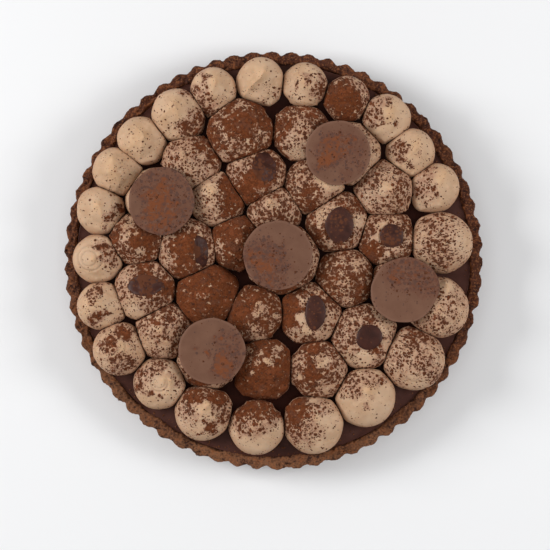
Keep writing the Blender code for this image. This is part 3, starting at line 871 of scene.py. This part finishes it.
def cocoa_dust_group():
    """Cocoa powder on a surface, by how thickly it was shaken: specks of three sizes, then a coat."""
    group = bpy.data.node_groups.new("cocoa_dust", "ShaderNodeTree")
    for name, side, kind in (
        ("Vector", "INPUT", "Vector"), ("Cover", "INPUT", "Float"), ("Mask", "OUTPUT", "Float"),
        ("Film", "OUTPUT", "Float"), ("Colour", "OUTPUT", "Color"), ("Height", "OUTPUT", "Float"),
    ):
        group.interface.new_socket(name, in_out=side, socket_type="NodeSocket" + kind)
    entry = group.nodes.new("NodeGroupInput")
    leave = group.nodes.new("NodeGroupOutput")
    where, amount = entry.outputs["Vector"], entry.outputs["Cover"]

    drift = put(group, "TexNoise", {"Vector": where, "Scale": 1 / (1.6 * MM), "Detail": 1.0}).outputs[1]
    drift = put(group, "VectorMath", {0: drift, 1: (0.5, 0.5, 0.5)}, operation="SUBTRACT").outputs[0]
    drift = put(group, "VectorMath", {0: drift, "Scale": 0.30 * MM}, operation="SCALE").outputs[0]
    warped = put(group, "VectorMath", {0: where, 1: drift}, operation="ADD").outputs[0]
    patchy = grain(group, warped, 2.4 * MM)
    threshold = maths(group, "ADD", maths(group, "MULTIPLY", amount, 0.570), 0.155)
    mask = soft_step(group, maths(group, "SUBTRACT", threshold, patchy), -0.045, 0.090)
    spread = maths(group, "MULTIPLY", soft_step(group, amount, 0.05, 0.45), 0.15)
    spread = maths(group, "ADD", spread, 0.15)
    for cell, gain in ((3.0, 1.25), (2.0, 1.15), (1.4, 0.8)):
        speck = put(group, "TexVoronoi", {"Vector": warped, "Scale": 1 / (cell * MM), "Randomness": 1.0})
        dice = put(group, "SeparateColor", {0: speck.outputs["Color"]})
        present = maths(group, "LESS_THAN", dice.outputs[0], maths(group, "MULTIPLY", amount, gain))
        size = maths(group, "ADD", maths(group, "MULTIPLY", dice.outputs[1], 0.20), spread)
        size = maths(group, "MULTIPLY", size, present)
        inside = maths(group, "SUBTRACT", size, speck.outputs["Distance"])
        mask = maths(group, "MAXIMUM", mask, soft_step(group, inside, -0.06, 0.11))
    thin = soft_step(group, patchy, 0.85, 0.38)
    film = maths(group, "MULTIPLY", soft_step(group, amount, 0.0, 0.50), thin)

    tone = grain(group, where, 1.6 * MM, 3, 0.6)
    clouds = grain(group, where, 5.5 * MM)
    flecks = grain(group, where, 0.8 * MM, 3, 0.6)
    colour = (0.088, 0.030, 0.014)
    for value, start, end, over, strength in (
        (amount, 0.40, 0.95, (0.162, 0.043, 0.012), 0.80),
        (tone, 0.60, 0.36, (0.108, 0.028, 0.009), 1),
        (clouds, 0.47, 0.34, (0.125, 0.062, 0.042), 0.3),
        (clouds, 0.55, 0.66, (0.200, 0.058, 0.022), 0.6),
        (flecks, 0.56, 0.70, (0.27, 0.090, 0.034), 0.40),
    ):
        colour = tint(group, colour, soft_step(group, value, start, end), over, strength)
    lumps = maths(group, "MULTIPLY", grain(group, where, 0.7 * MM, 2, 0.6), mask)
    height = maths(group, "ADD", mask, lumps)
    for name, value in (("Mask", mask), ("Film", film), ("Colour", colour), ("Height", height)):
        group.links.new(value, leave.inputs[name])
    return group


def dust(tree, where, amount):
    """Places the cocoa dust group in a material."""
    return put(tree, "Group", {"Vector": where, "Cover": amount}, node_tree=cocoa_dust).outputs


def marked(tree, label):
    """The number stored at each vertex under this label."""
    return put(tree, "Attribute", attribute_name=label).outputs["Fac"]


def cream_material():
    material, tree, shader, where = new_material("whipped_chocolate_cream")
    broad = grain(tree, where, 16 * MM, 2)
    streak = grain(tree, where, 4.5 * MM, 3, 0.55)
    fine = grain(tree, where, 0.6 * MM, 2)
    cloudy = soft_step(tree, broad, 0.35, 0.65)
    powder = dust(tree, where, marked(tree, "cocoa"))
    shade = tint(tree, (0.505, 0.320, 0.195), cloudy, (0.570, 0.384, 0.252))
    for mask, colour, strength in (
        (soft_step(tree, streak, 0.45, 0.7), (0.600, 0.400, 0.258), 1),
        # Lighter and more peach near the peaks and ridges
        (marked(tree, "crest"), (0.64, 0.40, 0.225), 0.55),
        # Painted shade, redder and darker, on the steep sides
        (marked(tree, "painted_flank_shade"), (0.440, 0.250, 0.148), 0.65),
        (powder["Film"], (0.340, 0.170, 0.110), 0.80),
        (powder["Mask"], powder["Colour"], 1),
        # Painted shade, dark brown, in the seams between domes and in the ring grooves
        (marked(tree, "crease_shade"), (0.100, 0.038, 0.020), 0.60),
    ):
        shade = tint(tree, shade, mask, colour, strength)
    shader.inputs["Subsurface Weight"].default_value = 0.25
    shader.inputs["Subsurface Radius"].default_value = (1.0, 0.55, 0.35)
    shader.inputs["Subsurface Scale"].default_value = 1.5 * MM
    matt = between(tree, powder["Mask"], 0.55, 0.95)
    height = maths(tree, "ADD", powder["Height"], maths(tree, "MULTIPLY", fine, 0.25))
    surfaced(tree, shader, shade, matt, 0.14, height, 0.16 * MM, 0.7)
    return material


cocoa_dust = cocoa_dust_group()
cream = cream_material()
soft = {name: soft_dome("dome_" + name) for name in dome_names()}
press_together(soft)
domes = {}
for name, bm in soft.items():
    node, slot = "dome_" + name, "chocolate_cream"
    domes[name] = finished("cream_" + name, pipe_dome(name, bm), cream, node)


# ---------------------------------------------------------------------------------------------
# Chocolate discs. Tempered milk chocolate, spread thin and cut with a round cutter, laid on five
# of the domes. Each has a thin rounded edge, is a little warped, and has its own patches of cocoa.

# The cocoa on each disc, written as it is for the domes
DISC_COCOA = {
    "upper_right": (0.05, [
        (20, 0.4, 0.5, 0.42), (290, 0.7, 0.25, 0.38), (330, 0.75, 0.2, 0.35), (140, 0.25, 0.45, 0.82),
        (60, 0.45, 0.25, 0.7), (215, 0.5, 0.30, 0.92), (0, 0.15, 0.2, 0.72),
    ]),
    "upper_left": (0.36, [
        (185, 0.85, 0.30, 0.03), (120, 0.85, 0.25, 0.3), (10, 0.75, 0.3, 0.3), (90, 0.35, 0.42, 0.85),
        (200, 0.15, 0.42, 0.9), (265, 0.55, 0.45, 0.8), (330, 0.4, 0.35, 0.75), (255, 0.5, 0.12, 0.4),
    ]),
    "centre": (0.10, [
        (200, 0.3, 0.6, 0.52), (180, 0.75, 0.3, 0.75), (250, 0.6, 0.45, 0.62), (215, 0.55, 0.25, 0.80),
        (225, 0.15, 0.2, 0.70), (20, 0.7, 0.4, 0.05), (90, 0.8, 0.4, 0.04),
    ]),
    "right": (0.04, [
        (20, 0.7, 0.45, 0.52), (60, 0.55, 0.55, 0.55), (110, 0.6, 0.5, 0.55), (130, 0.55, 0.2, 0.7),
    ]),
    "lower_left": (0.03, [
        (15, 0.55, 0.50, 0.42), (345, 0.75, 0.3, 0.46), (160, 0.5, 0.11, 0.98), (75, 0.55, 0.08, 0.9),
        (210, 0.15, 0.10, 0.98), (340, 0.3, 0.12, 0.95), (50, 0.5, 0.08, 0.9), (305, 0.58, 0.32, 0.99),
    ]),
}
# How much each is stretched across and along, and moved, in mm, where it spread as it set
DISC_SPREAD = {
    "upper_left": (1.02, 1.06, 0.7, 0.8), "lower_left": (1.04, 1.04, 0, 0), "centre": (1.02, 1.02, 0, 0),
    "right": (1.05, 0.97, -0.9, 0), "upper_right": (1.01, 1.0, -0.3, 0),
}
DISC_THICKNESS = 1.8 * MM
DISC_STEPS = 120
DISC_EDGE = 0.5 * MM  # how far its edge is rounded


def disc_reach(cad, place):
    """How far a CAD disc reaches from its middle in each direction, with its corners smoothed off."""
    surface = BVHTree.FromBMesh(cad)
    turn = place.to_3x3()
    reach = []
    for step in range(DISC_STEPS):
        angle = math.tau * step / DISC_STEPS
        direction = turn @ Vector((math.cos(angle), math.sin(angle), 0))
        reach.append(surface.ray_cast(place.translation, direction)[3])
    reach = np.array(reach)
    for _ in range(10):
        reach = (np.roll(reach, 1) + 2 * reach + np.roll(reach, -1)) / 4
    return reach


def cut_disc(name):
    """A thin disc with a rounded edge, in the CAD disc's place and outline, warped a little."""
    node = "disc_" + name
    low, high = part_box(node)
    middle = (low + high) / 2
    cad = merged_copy(node)
    up = sum((face.normal * face.calc_area() for face in cad.faces if face.normal.z > 0.8), Vector())
    tilt = Vector((0, 0, 1)).rotation_difference(up.normalized())
    place = Matrix.Translation(middle) @ tilt.to_matrix().to_4x4()
    reach = disc_reach(cad, place)
    cad.free()
    radius = float(reach.mean())
    half = DISC_THICKNESS / 2
    top_edge = round_corner((radius, half), (radius, 0), (0, half), DISC_EDGE, 3)
    bottom_edge = round_corner((radius, -half), (0, -half), (radius, 0), DISC_EDGE, 3)
    profile = along((0, -half), bottom_edge[0], 3) + bottom_edge + top_edge[:-1]
    profile += along(top_edge[-1], (0, half), 17) + [(0, half)]
    mesh = as_mesh(turned(profile, DISC_STEPS), "cut_disc_" + name)
    spots = vectors(mesh)
    share = out_from(spots) / radius
    around = np.rint(np.arctan2(spots[:, 1], spots[:, 0]) / math.tau * DISC_STEPS).astype(int)
    stretch = (reach / radius)[around % DISC_STEPS]
    rim = spots / np.maximum(share, 1e-6)[:, None]
    nick = ripple(rim + middle.x, 9 * MM, 41)
    across, ahead, right, back = DISC_SPREAD[name]
    spots[:, :2] *= (stretch * (1 + 0.006 * nick * share))[:, None] * (across, ahead)
    spots[:, :2] += np.array((right, back)) * MM
    spots[:, 2] += (0.1 - 0.25 * share**2) * MM
    warp = 0.10 * ripple(spots + middle.x, 14 * MM, 42) + 0.02 * ripple(spots, 3.5 * MM, 43)
    spots[:, 2] += warp * MM
    turn = np.array(place)
    move_to(mesh, spots @ turn[:3, :3].T + turn[:3, 3])
    spots = vectors(mesh)
    plan = strayed(spots, 7 * MM, 1.0 * MM, 44)
    mark(mesh, "cocoa", cover(plan, middle.xy, radius, *DISC_COCOA[name]))
    mark(mesh, "edge", rise(share, 0.93, 1.0))
    return mesh


def disc_material():
    material, tree, shader, where = new_material("tempered_milk_chocolate")
    amount = marked(tree, "cocoa")
    powder = dust(tree, where, amount)
    cloud = grain(tree, where, 9 * MM, 3, 0.55)
    fine = grain(tree, where, 0.7 * MM, 3, 0.6)
    mottle = grain(tree, where, 2.6 * MM, 4, 0.65)
    mottle = maths(tree, "ADD", maths(tree, "MULTIPLY", amount, 0.5), mottle)
    warmed = soft_step(tree, mottle, 0.70, 0.98)
    settled = tint(tree, (0.088, 0.044, 0.034), warmed, (0.185, 0.054, 0.018))
    greyed = soft_step(tree, grain(tree, where, 4.2 * MM, 3, 0.6), 0.50, 0.36)
    settled = tint(tree, settled, greyed, (0.100, 0.054, 0.040), 0.6)
    cloudy = soft_step(tree, cloud, 0.3, 0.7)
    shade = tint(tree, (0.140, 0.064, 0.038), cloudy, (0.165, 0.078, 0.047))
    shade = tint(tree, shade, marked(tree, "edge"), (0.23, 0.12, 0.08), 0.45)
    shade = tint(tree, shade, powder["Film"], (0.125, 0.046, 0.026), 0.75)
    shade = tint(tree, shade, powder["Mask"], settled, 0.85)
    matt = between(tree, powder["Mask"], 0.56, 0.9)
    height = maths(tree, "MULTIPLY", powder["Height"], 0.6)
    height = maths(tree, "ADD", height, maths(tree, "MULTIPLY", fine, 0.2))
    surfaced(tree, shader, shade, matt, 0.20, height, 0.12 * MM, 0.6)
    return material


chocolate = disc_material()
discs = []
for name in DISC_COCOA:
    node, slot = "disc_" + name, "milk_chocolate"
    discs.append(finished("chocolate_disc_" + name, cut_disc(name), chocolate, node))


# ---------------------------------------------------------------------------------------------
# Ganache pools. Soft dark ganache, spooned into hollows in the tops of seven domes. Four are
# separate pieces of the CAD model; the three that cocoa has half buried are thin films here,
# which lie in the dents that were left for them.

# The cocoa on each pool, written as it is for the domes
POOL_COCOA = {
    "upper": (0.26, [(150, 0.4, 0.5, 0.38), (300, 0.8, 0.4, 0.06)]),
    "right": (0.34, [(90, 0.6, 0.5, 0.15), (270, 0.3, 0.5, 0.45)]),
    "lower_right": (0.10, [(320, 0.8, 0.4, 0.02)]),
    "lower": (0.22, [(200, 0.5, 0.5, 0.34), (320, 0.8, 0.4, 0.04)]),
}
SUNK_COCOA = {
    "third_01": (0.34, [(225, 0.9, 0.7, 0.98), (60, 0.7, 0.4, 0.1)]),
    "second_12": (0.58, [
        (95, 0.3, 0.5, 0.80), (200, 0.75, 0.35, 0.1), (340, 0.75, 0.3, 0.12), (180, 0.95, 0.2, 0.1),
    ]),
    "third_08": (0.08, [(150, 0.8, 0.35, 0.8), (185, 0.30, 0.45, 0.92), (20, 0.1, 0.2, 0.6)]),
}
FILM_STEPS = 72


def pool_piece(name):
    """A shallow lens of ganache with a slightly wandering outline, in place of a CAD pool."""
    low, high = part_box("pool_" + name)
    middle, reach = (low + high) / 2, (high - low) / 2 + Vector((0.8, 0.5, 0)) * MM
    bm = bmesh.new()
    bmesh.ops.create_icosphere(bm, subdivisions=5, radius=1)
    mesh = as_mesh(bm, "spooned_" + name)
    ball = vectors(mesh)
    up = ball[:, 2]
    stretch = 1 + 0.030 * ripple(ball * (1, 1, 0) + middle.x * 100, 1.5, 51)
    crown = np.where(up > 0, 0.9 * MM, 2.2 * MM)
    place = np.column_stack((
        middle.x + ball[:, 0] * reach.x * stretch,
        middle.y + ball[:, 1] * reach.y * stretch,
        high.z + 0.2 * MM + np.sign(up) * np.abs(up) ** 1.4 * crown,
    ))
    place[:, 2] += np.clip(up, 0, 1) * 0.07 * MM * ripple(place, 4.5 * MM, 52)
    move_to(mesh, place)
    plan = strayed(place, 5 * MM, 0.8 * MM, 53)
    mark(mesh, "cocoa", cover(plan, middle.xy, reach.x, *POOL_COCOA[name]))
    return mesh


def sunk_film(name):
    """A film of ganache in a dome's dent: it takes the dome's shape and fills part of the dent."""
    x, y, width, length, depth = DENTS[name]
    surface = surface_of([domes[name].data])
    profile = along((0, -1), (1, -1), 4) + along((1, -1), (1, 0), 2)
    profile += along((1, 0), (0, 1), 14) + [(0, 1)]
    mesh = as_mesh(turned(profile, FILM_STEPS), "sunk_" + name)
    flat = vectors(mesh)
    share = out_from(flat)
    stretch = 1 + 0.06 * ripple(flat * (1, 1, 0) + x / 10, 1.1, 54)
    place = np.column_stack((
        x * MM + flat[:, 0] * stretch * width * MM / 2,
        y * MM + flat[:, 1] * stretch * length * MM / 2,
        flat[:, 2],
    ))
    fill = 0.45 * depth * MM * np.clip(1 - share**2, 0, 1) ** 1.5
    over = np.where(flat[:, 2] >= 0, 0.18 * MM * (1 - share**6) + fill, -0.5 * MM)
    for index in range(len(place)):
        above = Vector((place[index, 0], place[index, 1], 60 * MM))
        place[index, 2] = surface.ray_cast(above, Vector((0, 0, -1)))[0].z + over[index]
    move_to(mesh, place)
    spots = strayed(place, 5 * MM, 0.8 * MM, 55)
    radius = max(width, length) * MM / 2
    mark(mesh, "cocoa", cover(spots, (x * MM, y * MM), radius, *SUNK_COCOA[name]))
    return mesh


def pool_material():
    material, tree, shader, where = new_material("glossy_dark_ganache")
    powder = dust(tree, where, marked(tree, "cocoa"))
    cloudy = soft_step(tree, grain(tree, where, 5 * MM, 3), 0.3, 0.7)
    shade = tint(tree, (0.030, 0.008, 0.005), cloudy, (0.053, 0.014, 0.008))
    shade = tint(tree, shade, powder["Film"], (0.085, 0.03, 0.016), 0.35)
    shade = tint(tree, shade, powder["Mask"], (0.120, 0.037, 0.014), 0.75)
    matt = between(tree, powder["Mask"], 0.46, 0.85)
    surfaced(tree, shader, shade, matt, 0.24, powder["Height"], 0.06 * MM, 0.5)
    return material


dark = pool_material()
pools = []
for name in POOL_COCOA:
    node, slot = "pool_" + name, "dark_ganache"
    pools.append(finished("ganache_pool_" + name, pool_piece(name), dark, node))
for name in SUNK_COCOA:
    pools.append(finished("ganache_film_" + name, sunk_film(name), dark))


# ---------------------------------------------------------------------------------------------
# Cocoa specks and grains. Cocoa powder clumps as it is shaken through a sieve: flat dark clumps
# up to 2 mm across, and a fine fall of grains between them. They lie thickest round the edges of
# the brown patches. On two domes by the rim the hand moved as it shook, and they lie in streaks.

SPECKS = 8192  # each a power of two, because the lumps are made by doubling
GRAINS = 8192
SPECK_SIZES = (0.50, 1.9)  # mm
GRAIN_SIZES = (0.28, 0.55)  # mm
STREAKED = ("cream_outer_07", "cream_outer_09")


def fallen(pieces, lids, count, seed):
    """Places where cocoa lands on the pieces: points and normals, and the cover there."""
    corners, covers, headings, welcome = [], [], [], []
    for piece in pieces:
        mesh = piece.data
        mesh.calc_loop_triangles()
        triangles = np.empty(len(mesh.loop_triangles) * 3, dtype=np.int32)
        mesh.loop_triangles.foreach_get("vertices", triangles)
        triangles = triangles.reshape(-1, 3)
        corners.append(vectors(mesh)[triangles])
        covers.append(read_mark(mesh, "cocoa")[triangles].mean(1))
        headings.append(np.full(len(triangles), piece.name in STREAKED))
        welcome.append(np.full(len(triangles), 1.0 if piece.name.startswith("cream") else 0.3))
    corners, covers, streaks, welcome = map(np.concatenate, (corners, covers, headings, welcome))
    cross = np.cross(corners[:, 1] - corners[:, 0], corners[:, 2] - corners[:, 0])
    area = np.maximum(np.linalg.norm(cross, axis=1), 1e-15)
    normals = cross / area[:, None]
    patchy = np.clip(1 + 0.7 * ripple(corners[:, 0], 6 * MM, seed), 0.1, 2.5)
    chance = welcome * area * np.clip(normals[:, 2], 0, 1)
    chance = chance * np.clip(covers, 0, 1) ** 0.8 * (1 - 0.85 * covers) * patchy
    dice = np.random.RandomState(seed)
    chosen = dice.choice(len(chance), round(count * 1.5), p=chance / chance.sum())
    points = (corners[chosen] * dice.dirichlet((1, 1, 1), len(chosen))[:, :, None]).sum(1)
    open_sky = [
        index
        for index, point in enumerate(points)
        if lids.ray_cast(Vector(point) + Vector((0, 0, 0.05 * MM)), Vector((0, 0, 1)))[0] is None
    ][:count]
    chosen = chosen[open_sky]
    return points[open_sky], normals[chosen], covers[chosen], streaks[chosen], dice


def clumps(name, points, normals, sizes, streaks, flatness, dice):
    """A mesh of small flattened lumps, each its own shape, lying on the surface at the points."""
    bm = bmesh.new()
    bmesh.ops.create_icosphere(bm, subdivisions=1, radius=1)
    ball_points = len(bm.verts)
    mesh = as_mesh(bm, name)
    while len(mesh.vertices) < len(points) * ball_points:
        bm = bmesh.new()
        bm.from_mesh(mesh)
        bm.from_mesh(mesh)
        bpy.data.meshes.remove(mesh)
        mesh = as_mesh(bm, name)
    count = len(points)
    points = np.array(points)
    ball = vectors(mesh).reshape(-1, ball_points, 3)
    ball *= dice.uniform(0.7, 1.3, ball.shape[:2])[:, :, None]
    outward = np.arctan2(points[:, 1], points[:, 0])
    heading = np.where(streaks, outward, dice.uniform(0, math.tau, count))
    long_side = sizes / 2 * np.where(streaks, 1.7, 1.0)
    wide_side = sizes / 2 * dice.uniform(0.6, 1.0, count)
    ahead = np.column_stack((np.cos(heading), np.sin(heading), np.zeros(count)))
    ahead -= normals * (ahead * normals).sum(1)[:, None]
    ahead /= np.linalg.norm(ahead, axis=1)[:, None]
    across = np.cross(normals, ahead)
    place = ball[:, :, 0:1] * (ahead * long_side[:, None])[:, None]
    place += ball[:, :, 1:2] * (across * wide_side[:, None])[:, None]
    place += ball[:, :, 2:3] * (normals * (sizes / 2 * flatness)[:, None])[:, None]
    place = (place + points[:, None]).reshape(-1, 3)
    place[:, 2] = np.minimum(place[:, 2], cad_high.z)
    move_to(mesh, place)
    return mesh


def speck_material():
    material, tree, shader, where = new_material("clumped_cocoa")
    tone = grain(tree, where, 2.2 * MM, 3, 0.6)
    fine = grain(tree, where, 0.25 * MM, 2)
    warmed = soft_step(tree, tone, 0.35, 0.65)
    shade = tint(tree, (0.074, 0.026, 0.014), warmed, (0.130, 0.046, 0.021))
    shade = tint(tree, shade, soft_step(tree, fine, 0.55, 0.75), (0.17, 0.06, 0.025))
    surfaced(tree, shader, shade, soft_step(tree, fine, -1.6, 0.9), 0.1, fine, 0.08 * MM, 0.6)
    return material


lids = surface_of(piece.data for piece in discs + pools)
clumped = speck_material()
dusted = list(domes.values()) + discs + pools
points, normals, covers, streaks, dice = fallen(dusted, lids, SPECKS, 61)
sizes = 0.80 * np.exp(0.36 * dice.normal(size=len(points))) * (0.9 + 0.4 * covers)
sizes = np.clip(sizes, *SPECK_SIZES) * MM
finished("cocoa_specks", clumps("cocoa_specks", points, normals, sizes, streaks, 0.42, dice), clumped)
points, normals, covers, streaks, dice = fallen(dusted, lids, GRAINS, 62)
sizes = dice.uniform(*GRAIN_SIZES, len(points)) * MM
finished("cocoa_grains", clumps("cocoa_grains", points, normals, sizes, streaks, 0.8, dice), clumped)


# ---------------------------------------------------------------------------------------------
# Pastry crumbs. Cocoa shortcrust, in crumbs of a millimetre or so. They broke off the rim and lie
# loose on the ganache beside it.

CRUMBS = 64  # also a power of two
CRUMB_SIZES = (0.5, 1.5)  # mm


def crumb_places(dice):
    """Places on the open ganache near the rim, most of them on the right and at the bottom."""
    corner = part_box("ganache_filling")[1]
    edge, level = corner.x, corner.z
    shelter = surface_of(piece.data for piece in domes.values())
    places = []
    while len(places) < CRUMBS:
        bearing = math.radians(dice.choice((dice.uniform(-140, 60), dice.uniform(0, 360))))
        distance = edge - abs(dice.normal()) * 5 * MM - 0.8 * MM
        place = Vector((distance * math.cos(bearing), distance * math.sin(bearing), level + 0.25 * MM))
        if shelter.ray_cast(place, Vector((0, 0, 1)))[0] is None:
            places.append(place)
    return places


def crumb_material():
    material, tree, shader, where = new_material("pastry_crumb")
    tone = grain(tree, where, 1.1 * MM, 3, 0.6)
    baked = soft_step(tree, tone, 0.35, 0.65)
    shade = tint(tree, (0.085, 0.028, 0.012), baked, (0.22, 0.080, 0.030))
    surfaced(tree, shader, shade, soft_step(tree, tone, -1.2, 0.8), 0.15, tone, 0.15 * MM, 0.7)
    return material


dice = np.random.RandomState(71)
places = crumb_places(dice)
sizes = dice.uniform(*CRUMB_SIZES, CRUMBS) * MM
upright = np.tile((0.0, 0.0, 1.0), (CRUMBS, 1))
crumbs = clumps("pastry_crumbs", places, upright, sizes, np.zeros(CRUMBS, bool), 0.7, dice)
finished("pastry_crumbs", crumbs, crumb_material())


# ---------------------------------------------------------------------------------------------
# Floor, lights and camera. A plain pale surface, with a large soft light overhead and a smaller
# one on each side, seen from straight above.

LENS = 162.8  # mm, on a sensor 36 mm wide
CAMERA_PLACE = (0.85 * MM, -8.55 * MM, 1500 * MM)


def pale_floor():
    bm = bmesh.new()
    bmesh.ops.create_grid(bm, x_segments=8, y_segments=8, size=2.5)
    mesh = as_mesh(bm, "pale_floor")
    material, tree, shader, where = new_material("pale_paper")
    cloud = grain(tree, where, 0.4)
    shade = tint(tree, (0.84, 0.845, 0.855), cloud, (0.87, 0.875, 0.885))
    tree.links.new(shade, shader.inputs["Base Color"])
    shader.inputs["Roughness"].default_value = 0.8
    shader.inputs["Specular IOR Level"].default_value = 0.2
    mesh.materials.append(material)
    floor = bpy.data.objects.new("pale_floor", mesh)
    bpy.context.scene.collection.objects.link(floor)
    floor.location.z = cad_low.z - 0.2 * MM
    floor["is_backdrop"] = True


def soft_light(name, place, size, power, mirrored):
    lamp = bpy.data.lights.new(name, "AREA")
    lamp.shape = "SQUARE"
    lamp.size = size
    lamp.energy = power
    obj = bpy.data.objects.new(name, lamp)
    obj.location = place
    obj.rotation_euler = (-Vector(place)).to_track_quat("-Z", "Y").to_euler()
    obj.visible_glossy = mirrored
    bpy.context.scene.collection.objects.link(obj)


def overhead_camera():
    lens = bpy.data.cameras.new("overhead")
    lens.sensor_width = 36
    lens.lens = LENS
    lens.clip_start = 0.05
    camera = bpy.data.objects.new("overhead", lens)
    camera.location = CAMERA_PLACE
    bpy.context.scene.collection.objects.link(camera)
    bpy.context.scene.camera = camera


pale_floor()
soft_light("overhead_tent", (-0.15, 0.0, 1.9), 1.5, 7.2, False)
soft_light("soft_key", (-1.40, 0.30, 1.0), 0.7, 20, True)
soft_light("soft_fill", (1.15, 0.05, 0.95), 0.6, 9.6, True)
sky = bpy.data.worlds.new("studio")
sky.use_nodes = True
sky.node_tree.nodes["Background"].inputs["Color"].default_value = (1.0, 1.0, 1.0, 1)
sky.node_tree.nodes["Background"].inputs["Strength"].default_value = 0.28
bpy.context.scene.world = sky
bpy.context.scene.view_settings.view_transform = "Standard"
overhead_camera()

shown_low, shown_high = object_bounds()
sizes = {"cad": [list(cad_low), list(cad_high)], "shown": [list(shown_low), list(shown_high)]}
